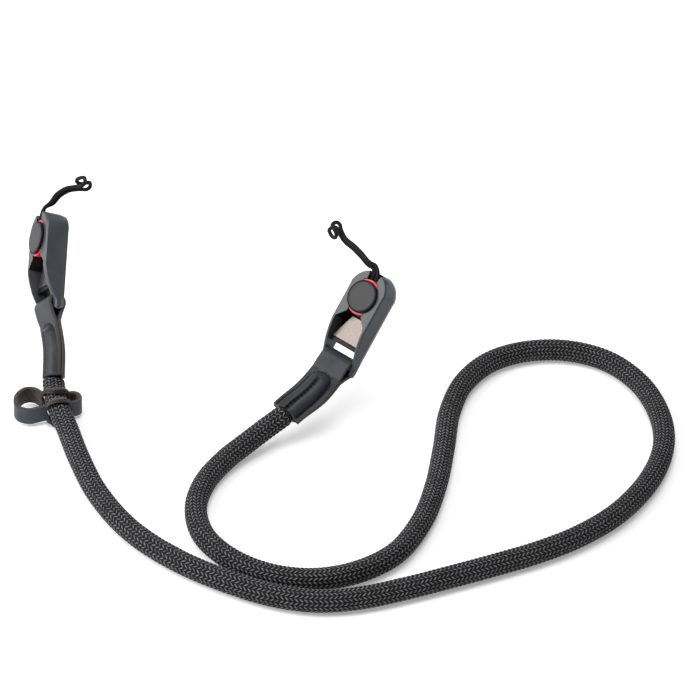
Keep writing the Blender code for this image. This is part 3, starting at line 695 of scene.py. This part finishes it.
def stitch_row(spacing, last):
    """Points every spacing along the U of a tab's stitches: up one side, over an arch and down the other."""
    arch = STITCH_TOP + STITCH_HALF
    angles = np.linspace(0.0, math.pi, 41)
    bow = np.stack([arch - STITCH_HALF * np.sin(angles) ** 0.8, STITCH_HALF * np.cos(angles)], axis=1)
    line = np.vstack([[last, STITCH_HALF], bow, [last, -STITCH_HALF]])
    lengths = run_length(line)
    places = np.arange(0.5 * spacing, lengths[-1], spacing)
    return np.stack([np.interp(places, lengths, line[:, k]) for k in range(2)], axis=1)


def tab_relief(along, across):
    """How deep a tab's outer face is pressed in and how dark the painted shade lies there, along its U of
    stitches and along the middle groove of its swell: each is a Gauss curve of the distance from its line."""
    row = stitch_row(0.4, TAB_LENGTH - 0.8)
    gap = np.full(np.broadcast(along, across).shape, 1e9)
    for place, side in row:
        gap = np.minimum(gap, np.hypot(along - place, across - side))
    seam = SEAM["depth"] * np.exp(-(gap / SEAM["width"]) ** 2)
    start = smooth((along - GROOVE["start"]) / GROOVE["run"])
    ripple = 1.0 + GROOVE["ripple"] * np.cos(2 * math.pi * along / GROOVE["wave"])
    groove = GROOVE["depth"] * start * ripple * np.exp(-(across / GROOVE["width"]) ** 2)
    return seam + groove, np.clip(seam + GROOVE["groove_shade"] * groove, 0.0, 1.0)


def tab_outer(along, across, leather):
    """The height of a tab's outer face over its middle plane, for its straight part."""
    return (CLEARANCE / 2 + leather + swell(along, across, STITCH_HALF, SLEEVE_SKIN)
            - tab_relief(along, across)[0])


def tab_ring():
    """Across a tab: each point's share of the half width, its share of the thickness, and how cut it is. The
    columns lie closer towards the sides, by a share of a sine, and each cut edge bulges by half a sine."""
    even = np.linspace(-1, 1, FLAT_COLUMNS)
    flat = 0.35 * np.sin(0.5 * math.pi * even) + 0.65 * even
    edge = np.array(EDGE_LEVELS)
    bulge = 0.012 * np.sin(edge * math.pi)
    across = np.concatenate([flat, 1.0 + bulge, flat[::-1], -1.0 - bulge])
    thick = np.concatenate([np.ones_like(flat), edge, np.zeros_like(flat), edge[::-1]])
    cut = np.repeat([0.0, 1.0, 0.0, 1.0], [len(flat), len(edge)] * 2)
    return across, thick, cut


def leather_tab(name, sizes, leather_finish):
    """A tab: its leather's cross-section is carried along the line from the upper mouth round the bar to the
    lower mouth, on an arc round the bar and straight elsewhere. It narrows to the mouth on an eased square,
    and its outer face swells and is pressed in as tab_outer says."""
    leather = sizes.leather / MM
    half = sizes.tab_width / MM / 2
    radius = END_BAR["radius"] + CLEARANCE + LOOP_SLACK
    tangent = math.degrees(math.acos(radius / math.hypot(LOOP_LENGTH, CLEARANCE / 2)))
    straight = np.concatenate([[TAB_LENGTH, TAB_LENGTH - 0.25],
                               np.linspace(TAB_LENGTH - 0.6, LOOP_LENGTH, 84)])
    turns = np.linspace(tangent, 180.0, 22)
    joined = np.linspace(0.0, 1.0, 8)[1:-1]
    arc_along = LOOP_SLACK + radius * np.cos(np.radians(turns))
    arc_height = radius * np.sin(np.radians(turns))
    along = np.concatenate([straight, LOOP_LENGTH + (arc_along[0] - LOOP_LENGTH) * joined, arc_along])
    height = np.concatenate([np.full(len(straight), CLEARANCE / 2),
                             CLEARANCE / 2 + (arc_height[0] - CLEARANCE / 2) * joined, arc_height])
    angle = np.concatenate([np.full(len(straight), 90.0), np.full(len(joined), tangent), turns])
    count = len(along)
    along = np.concatenate([along, along[-2::-1]])
    height = np.concatenate([height, -height[-2::-1]])
    angle = np.radians(np.concatenate([angle, -angle[-2::-1]]))
    side = np.concatenate([np.ones(count), -np.ones(count - 1)])
    across, thick, cut = tab_ring()
    along, height, angle, side = (v[:, None] for v in (along, height, angle, side))
    thin = np.ones(len(along))
    thin[0] = thin[-1] = MOUTH_EDGE
    thick = 0.5 + (thick[None] - 0.5) * thin[:, None]
    width = half * (1 - smooth(along / TAB_LENGTH) ** 2 * (1 - sizes.tab_mouth / sizes.tab_width))
    x = across[None] * width * (1 - 0.004 * (thin[:, None] < 1))
    raised = (swell(along, x, STITCH_HALF - leather, SLEEVE_RISE) * (1 - thick)
              + swell(along, x, STITCH_HALF, SLEEVE_SKIN) * thick)
    outer = np.clip(2 * thick - 1, 0, 1) * smooth((along - SEAM["start"]) / SEAM["run"])
    # The second share is the painted shade in the pressed seams and groove
    pressed, waxed = np.array(tab_relief(along, x)) * outer
    points = tab_surface(name, along + leather * thick * np.cos(angle), x,
                         height + leather * thick * np.sin(angle) + side * (raised - pressed))
    rows, columns = points.shape[:2]
    rr, cc = grid_quads(rows, columns, wrap_columns=True)
    quads = rr * columns + cc % columns
    flats = np.arange(FLAT_COLUMNS - 1)
    opposite = 2 * FLAT_COLUMNS + len(EDGE_LEVELS) - 1 - flats
    ends = [np.stack([flats + s, flats + 1 + s, opposite - 1 + s, opposite + s], axis=1)
            for s in (0, (rows - 1) * columns)]
    uv_grid = np.stack(np.broadcast_arrays(x, along), axis=-1).reshape(-1, 2)
    quads = np.vstack([quads, ends[0], ends[1]])
    # Its pressed values carry the painted shade of the seams and groove
    piece = mesh_piece(f"{name}_stitched_tab", points.reshape(-1, 3), quads, uv=uv_grid[quads.ravel()],
                       floats={"cut": np.broadcast_to(cut, (rows, columns)).ravel(),
                               "pressed": waxed.ravel()}, finish=[leather_finish])
    point_outwards(piece)
    return piece


def stitches(name, sizes, thread):
    """Thread beads: each is a short tube whose middle line arches over the leather and dips into it at both
    ends, set along the U on both faces of a tab and along the groove."""
    leather = sizes.leather / MM
    pitch = sizes.stitch_pitch / MM
    row = stitch_row(pitch, TAB_LENGTH - 1.2)
    turn = np.gradient(row, axis=0)
    middle = np.arange(GROOVE["first_bead"], TAB_LENGTH - 1.0, pitch)
    groove = np.stack([middle, np.zeros(len(middle))], axis=1)
    spots = np.vstack([row, groove])
    ways = unit(np.vstack([turn, np.tile([1.0, 0.0], (len(groove), 1))]))
    rings, sides = THREAD["rings"], THREAD["sides"]
    s, phi = np.linspace(-1, 1, rings), np.arange(sides) * 2 * math.pi / sides
    radius = THREAD["radius"] * np.sqrt(np.clip(1 - s ** 6, 0.02, 1))
    middle_line = THREAD["proud"] - THREAD["dip"] * s ** 4
    parts = []
    for side in (1.0, -1.0):
        run = THREAD["reach"] * pitch * s[None, :, None]
        wide = radius[None, :, None] * np.cos(phi)[None, None, :]
        along = spots[:, 0, None, None] + ways[:, 0, None, None] * run - ways[:, 1, None, None] * wide
        across = spots[:, 1, None, None] + ways[:, 1, None, None] * run + ways[:, 0, None, None] * wide
        lift = middle_line[None, :, None] + radius[None, :, None] * np.sin(phi)[None, None, :]
        base = tab_outer(spots[:, 0], spots[:, 1], leather)[:, None, None]
        parts.append(tab_surface(name, along, across, side * (base + lift)))
    points = np.concatenate(parts)
    rr, cc = grid_quads(rings, sides, wrap_columns=True)
    ends = end_quads(sides)
    bead = np.vstack([rr * sides + cc % sides, ends, ends + (rings - 1) * sides])
    piece = mesh_piece(f"{name}_tab_stitches", points.reshape(-1, 3),
                       repeated(bead, len(points), rings * sides), finish=[thread])
    point_outwards(piece)
    return piece


def keeper(sizes, finish):
    """The keeper: a leather band follows a closed curve. Where the rope goes through, the band is slit: its
    two strips part over and under the rope on half ellipses and lean out of the ring."""
    middle = np.array(ROPE_ROUTE[KEEPER_KNOT]) + [0.0, 0.0, TABLE]
    run = np.array(ROPE_ROUTE[KEEPER_KNOT + 1]) - np.array(ROPE_ROUTE[KEEPER_KNOT - 1])
    sink = run[2] / math.hypot(run[0], run[1])
    way = unit(np.array([run[0], run[1], 0.0]))
    aside = np.cross(way, [0.0, 0.0, 1.0])
    plan = [(KEEPER_LENGTH * u, KEEPER_DEPTH * v, 0.0) for u, v in KEEPER_PLAN]
    ring = smooth_path(plan, KEEPER_STEP, closed=True)
    half = sizes.keeper_band / MM / 2
    share = np.sqrt(np.clip(1 - (ring[:, 0] / KEEPER_OPENING) ** 2, 0.0, None))[:, None]
    level = sink * ring[:, 1:2] * share - KEEPER_DROP * (1 - share)
    shares = np.linspace(0.0, 1.0, STRIP_ROWS)
    band = np.concatenate([-1.0 + (KEEPER_SLIT + 1.0) * shares, KEEPER_SLIT + (1.0 - KEEPER_SLIT) * shares])
    front = ring[:, 1:2] > KEEPER_FRONT
    reach, rise = (np.where(front, np.repeat([lean[k] for lean in KEEPER_LEAN["front"]], STRIP_ROWS),
                            np.repeat([lean[k] for lean in KEEPER_LEAN["back"]], STRIP_ROWS))
                   for k in (0, 1))
    off = band - KEEPER_SLIT
    arch = np.repeat([-1.0, 1.0], STRIP_ROWS) * KEEPER_ARCH * share
    height = level + half * (band * (1 - share) + off * rise * share) + arch
    lean = half * np.abs(off) * reach * share * np.where(front, 1.0, -1.0)
    points = (middle + aside * ring[:, 0, None, None] + way * (ring[:, 1:2] + lean)[..., None]
              + height[..., None] * [0, 0, 1.0])
    rows, columns = height.shape
    index = np.arange(rows * columns).reshape(rows, columns)
    whole = share[:, 0] == 0.0
    index[whole, STRIP_ROWS] = index[whole, STRIP_ROWS - 1]
    rr, cc = grid_quads(rows, columns, wrap_rows=True)
    keep = cc[:, 0] != STRIP_ROWS - 1
    quads = index[rr[keep] % rows, cc[keep]]
    piece = mesh_piece("leather_keeper", points.reshape(-1, 3), quads, finish=finish)
    shell = bmesh.new()
    shell.from_mesh(piece.data)
    bmesh.ops.delete(shell, geom=[v for v in shell.verts if not v.link_faces], context="VERTS")
    bmesh.ops.recalc_face_normals(shell, faces=shell.faces)
    inside = Vector((middle + aside * KEEPER_INSIDE) * MM)
    if sum(face.normal.dot(face.calc_center_median() - inside) for face in shell.faces) < 0:
        bmesh.ops.reverse_faces(shell, faces=shell.faces)
    shell.to_mesh(piece.data)
    shell.free()
    wall = piece.modifiers.new("wall", "SOLIDIFY")
    wall.thickness = sizes.keeper_leather
    wall.offset = 0.0
    wall.material_offset = 1
    wall.material_offset_rim = 2
    round_edges(piece, 0.3, math.radians(50))
    return piece


def refined(node_name, piece_name, bevel, finish, choose=None):
    """A copy of a rigid frame node: its loose triangles merged, its flat faces joined, its edges rounded."""
    source = frame["nodes"][node_name]
    mesh = source.data.copy()
    mesh.name = piece_name
    shell = bmesh.new()
    shell.from_mesh(mesh)
    bmesh.ops.remove_doubles(shell, verts=shell.verts, dist=2e-6)
    bmesh.ops.dissolve_limit(shell, angle_limit=math.radians(1.0), verts=shell.verts, edges=shell.edges)
    shell.to_mesh(mesh)
    shell.free()
    for key in ("sharp_face", "sharp_edge"):
        if key in mesh.attributes:
            mesh.attributes.remove(mesh.attributes[key])
    piece = bpy.data.objects.new(piece_name, mesh)
    bpy.context.scene.collection.objects.link(piece)
    mesh.materials.clear()
    for material in finish:
        mesh.materials.append(material)
    if choose is not None:
        centres = np.array([p.center for p in mesh.polygons]) / MM
        normals = np.array([p.normal for p in mesh.polygons])
        mesh.polygons.foreach_set("material_index", choose(centres, normals).astype(np.int32))
    mesh.shade_smooth()
    mesh.set_sharp_from_angle(angle=EDGE_ANGLE)
    round_edges(piece, bevel, EDGE_ANGLE)
    return piece


# A cap's turned outline from its underside to its top: radius and height over its underside
CAP_PROFILE = (
    (7.45, 0.0), (7.7, 0.2), (7.7, 0.72), (7.62, 0.95), (7.4, 1.08), (7.12, 1.1), (7.02, 1.02), (6.92, 1.02),
    (6.82, 1.14), (6.6, 1.2), (5.0, 1.2), (2.0, 1.2),
)
# The lower rows, the cap's side and rounded edge, are painted near-black as shade
CAP_RIM_ROWS = 7


def round_cap(name, finish):
    """An anchor's cap: a turned disc, whose radius and height follow CAP_PROFILE. Its side and rounded
    edge are painted near-black as shade.
    """
    profile, count = np.array(CAP_PROFILE), 96
    turn = np.arange(count) * 2 * math.pi / count
    local = np.stack(np.broadcast_arrays(profile[:, :1] * np.cos(turn), profile[:, :1] * np.sin(turn),
                                         HOUSING_THICK + CLEARANCE + profile[:, 1:]), axis=-1)
    rr, cc = grid_quads(len(profile), count, wrap_columns=True)
    end = end_quads(count)
    quads = np.vstack([rr * count + cc % count, end, end + (len(profile) - 1) * count])
    rim_shade = np.concatenate([rr[:, 0] < CAP_RIM_ROWS, np.ones(len(end)), np.zeros(len(end))])
    piece = mesh_piece(f"{name}_round_cap", placed(name, local.reshape(-1, 3)), quads, finish=finish,
                       slots=rim_shade)
    point_outwards(piece)
    return piece


def in_cavity(name):
    """The test of which faces lie in a housing's recess or channel, which are painted near-black as shade:
    their middles lie in one of two boxes, and the channel's don't look out of the housing's nose."""
    matrix = end_matrix(name)

    def choose(centres, normals):
        """One for each face in the recess or the channel, which takes the painted shade, else zero."""
        x, y, z = ((centres - matrix[:3, 3]) @ matrix[:3, :3]).T
        recess, channel = (
            (np.abs(x) < hollow["half"]) & (y > hollow["back"]) & (z > hollow["floor"])
            & (z < HOUSING_THICK - hollow["under"]) for hollow in (RECESS, CHANNEL))
        outwards = normals @ matrix[:3, 1] > CHANNEL["outwards"]
        return ((recess & (y < RECESS["front"])) | (channel & ~outwards)).astype(int)
    return choose


def stand(piece, node_names):
    """Lets a piece ride on the root body and stand for its frame nodes, which it hides."""
    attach(piece, "root")
    if node_names:
        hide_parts(*node_names)
    return piece


class STRAP_OT_stage(bpy.types.Operator):
    """Add the camera, the table and the lights"""
    bl_idname = "strap.stage"
    bl_label = "Stage"

    def execute(self, context):
        scene = context.scene
        paper = bpy.data.meshes.new("table_paper")
        corners = [(x, y, TABLE * MM) for x, y in ((-3, -3), (3, -3), (3, 3), (-3, 3))]
        paper.from_pydata(corners, [], [(0, 1, 2, 3)])
        paper.materials.append(acrylic_sweep("opal acrylic table"))
        floor = bpy.data.objects.new("table_paper", paper)
        scene.collection.objects.link(floor)
        camera = bpy.data.objects.new("camera", bpy.data.cameras.new("camera"))
        camera.data.sensor_width = 36.0
        camera.data.lens = camera.data.sensor_width * FOCAL_PIXELS / PHOTO_PIXELS
        camera.data.clip_end = 20.0
        camera.matrix_world = (Matrix.Translation(VIEW_PLACE)
                               @ Matrix.Rotation(math.radians(90 - VIEW_DOWN), 4, "X")
                               @ Matrix.Rotation(math.radians(VIEW_ROLL), 4, "Z"))
        scene.collection.objects.link(camera)
        scene.camera = camera
        world = bpy.data.worlds.new("studio")
        world.use_nodes = True
        wire(world.node_tree, world.node_tree.nodes["Background"],
             {"Color": linear("FFFFFF"), "Strength": 0.12})
        scene.world = world
        scene.view_settings.view_transform = "Standard"
        for name, place, size, power in LIGHTS:
            lamp = bpy.data.lights.new(name, "AREA")
            lamp.size = size
            lamp.energy = power
            light = bpy.data.objects.new(name, lamp)
            light.location = place
            aim = Vector(LIGHTS_LOOK_AT) - Vector(place)
            light.rotation_euler = aim.to_track_quat("-Z", "Y").to_euler()
            scene.collection.objects.link(light)
        return {"FINISHED"}


class STRAP_OT_rope(bpy.types.Operator):
    """Add the braided rope"""
    bl_idname = "strap.rope"
    bl_label = "Rope"

    def execute(self, context):
        sizes, colours = context.scene.strap_sizes, context.scene.strap_colours
        path = rope_path()
        lengths = run_length(path)
        mouths = [lengths[np.argmin(np.linalg.norm(path - inside_sleeve(name)[-1], axis=1))]
                  for name in ("left", "right")]
        covered = (mouths[0] - ROPE_END["covered"], mouths[1] + ROPE_END["covered"])
        thin = ROPE_END["radius"]
        full = sizes.rope_diameter / MM / 2 - (1 - YARN["sink"]) * ROPE_BULGE

        def radius(distance):
            """The core's radius: thin in the sleeves, and past each mouth it swells on a quarter circle."""
            out = np.clip(np.minimum(distance - mouths[0], mouths[1] - distance) / ROPE_END["swell"], 0, 1)
            return thin + (full - thin) * np.sqrt(1 - (1 - out) ** 2)

        # The yarn's float tops carry a painted highlight and its gaps painted shade
        finish = braided_polyester("braided black polyester", colours.yarn_crest_highlight, colours.yarn_gap_shade)
        rope = braid("braided_rope", path, (0.0, 0.0, 1.0), radius, sizes.rope_columns,
                     sizes.rope_pitch / MM, ROPE_BULGE, covered, (4, 5), finish)
        stand(rope, ["rope"])
        return {"FINISHED"}


class STRAP_OT_anchor_cords(bpy.types.Operator):
    """Add the two thin anchor cords with their hitches"""
    bl_idname = "strap.anchor_cords"
    bl_label = "Anchor cords"

    def execute(self, context):
        sizes, colours = context.scene.strap_sizes, context.scene.strap_colours
        # The cords' floats take a painted highlight on their tops and painted shade in their gaps, as the
        # rope's do
        finish = braided_polyester("fine black braid", colours.cord, colours.yarn_gap_shade)
        for name in ENDS:
            path, across = cord_path(name, sizes.cord_diameter / MM)
            length = run_length(path)[-1]
            core = sizes.cord_diameter / MM / 2 - CORD_CREST
            cord = braid(f"{name}_braided_cord", path, across, lambda d: np.full(np.shape(d), core), 8,
                         sizes.cord_pitch / MM, CORD_BULGE, (0.0, length), (3, 5), finish)
            stand(cord, [f"{name}_anchor_cord"])
        return {"FINISHED"}


class STRAP_OT_leather_tabs(bpy.types.Operator):
    """Add the two leather tabs and their stitches"""
    bl_idname = "strap.leather_tabs"
    bl_label = "Leather tabs"

    def execute(self, context):
        sizes, colours = context.scene.strap_sizes, context.scene.strap_colours
        finish = full_grain_leather("smooth charcoal leather", colours.leather, linear("4A4745"), 0.52)
        thread = waxed_thread("waxed black thread", colours.thread)
        for name in ENDS:
            tab = leather_tab(name, sizes, finish)
            stand(tab, [f"{name}_leather_tab"])
            stand(stitches(name, sizes, thread), [])
        return {"FINISHED"}


class STRAP_OT_keeper(bpy.types.Operator):
    """Add the leather keeper"""
    bl_idname = "strap.keeper"
    bl_label = "Keeper"

    def execute(self, context):
        sizes, colours = context.scene.strap_sizes, context.scene.strap_colours
        finish = [full_grain_leather("smooth keeper leather", colours.keeper, linear("4A4745"), 0.5),
                  suede_side("keeper suede", colours.suede, linear("55494A")),
                  suede_side("keeper cut edge", linear("1E1C1C"), linear("5A5552"))]
        stand(keeper(sizes, finish), ["rope_keeper"])
        return {"FINISHED"}


class STRAP_OT_hardware(bpy.types.Operator):
    """Add the housings, anchors and spring plates"""
    bl_idname = "strap.hardware"
    bl_label = "Housings and anchors"

    def execute(self, context):
        colours = context.scene.strap_colours
        housing = moulded_plastic("moulded slate nylon", colours.housing, 0.42)
        # The recess and channel of each housing are painted near-black as shade
        cavity_shade = moulded_plastic("painted hollow shade", colours.cavity_shade, 0.45, grain=0.1, specular=0.2)
        cap = moulded_plastic("moulded charcoal acetal", colours.cap, 0.5, specular=0.3)
        # The caps' sides and rounded edges are painted near-black as shade
        rim_shade = moulded_plastic("painted cap side shade", colours.cavity_shade, 0.6, grain=0.1, specular=0.2)
        core = moulded_plastic("moulded red acetal", colours.core, 0.38, tone=0.05)
        plate = satin_spring_steel("satin spring steel", colours.plate)
        for name in ENDS:
            stand(refined(f"{name}_housing", f"{name}_moulded_housing", 0.28, [housing, cavity_shade],
                          in_cavity(name)), [f"{name}_housing"])
            stand(round_cap(name, [cap, rim_shade]), [f"{name}_anchor_cap"])
            stand(refined(f"{name}_anchor_core", f"{name}_red_core", 0.15, [core]),
                  [f"{name}_anchor_core"])
            stand(refined(f"{name}_spring_plate", f"{name}_steel_plate", 0.12, [plate]),
                  [f"{name}_spring_plate"])
        return {"FINISHED"}


class STRAP_PT_panel(bpy.types.Panel):
    """Lists the strap's pieces and sizes"""
    bl_label = "Rope Camera Strap"
    bl_idname = "STRAP_PT_panel"
    bl_space_type = "VIEW_3D"
    bl_region_type = "UI"
    bl_category = "Strap"

    def draw(self, context):
        for operator in OPERATORS:
            self.layout.operator(operator.bl_idname)
        for group in (context.scene.strap_sizes, context.scene.strap_colours):
            for key in group.__annotations__:
                self.layout.prop(group, key)


OPERATORS = (STRAP_OT_stage, STRAP_OT_rope, STRAP_OT_anchor_cords, STRAP_OT_leather_tabs, STRAP_OT_keeper,
             STRAP_OT_hardware)
CLASSES = (StrapSizes, StrapColours, *OPERATORS, STRAP_PT_panel)


def register():
    """Adds the strap's classes and its sizes and colours."""
    for item in CLASSES:
        bpy.utils.register_class(item)
    bpy.types.Scene.strap_sizes = bpy.props.PointerProperty(type=StrapSizes)
    bpy.types.Scene.strap_colours = bpy.props.PointerProperty(type=StrapColours)


def unregister():
    """Takes them away again."""
    del bpy.types.Scene.strap_colours
    del bpy.types.Scene.strap_sizes
    for item in reversed(CLASSES):
        bpy.utils.unregister_class(item)


def main():
    """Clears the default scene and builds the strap."""
    for item in list(bpy.data.objects):
        if item.name in ("Cube", "Light", "Camera"):
            bpy.data.objects.remove(item, do_unlink=True)
    register()
    for operator in OPERATORS:
        group, name = operator.bl_idname.split(".")
        getattr(getattr(bpy.ops, group), name)()
    bpy.context.view_layer.update()


if __name__ == "__main__":
    main()
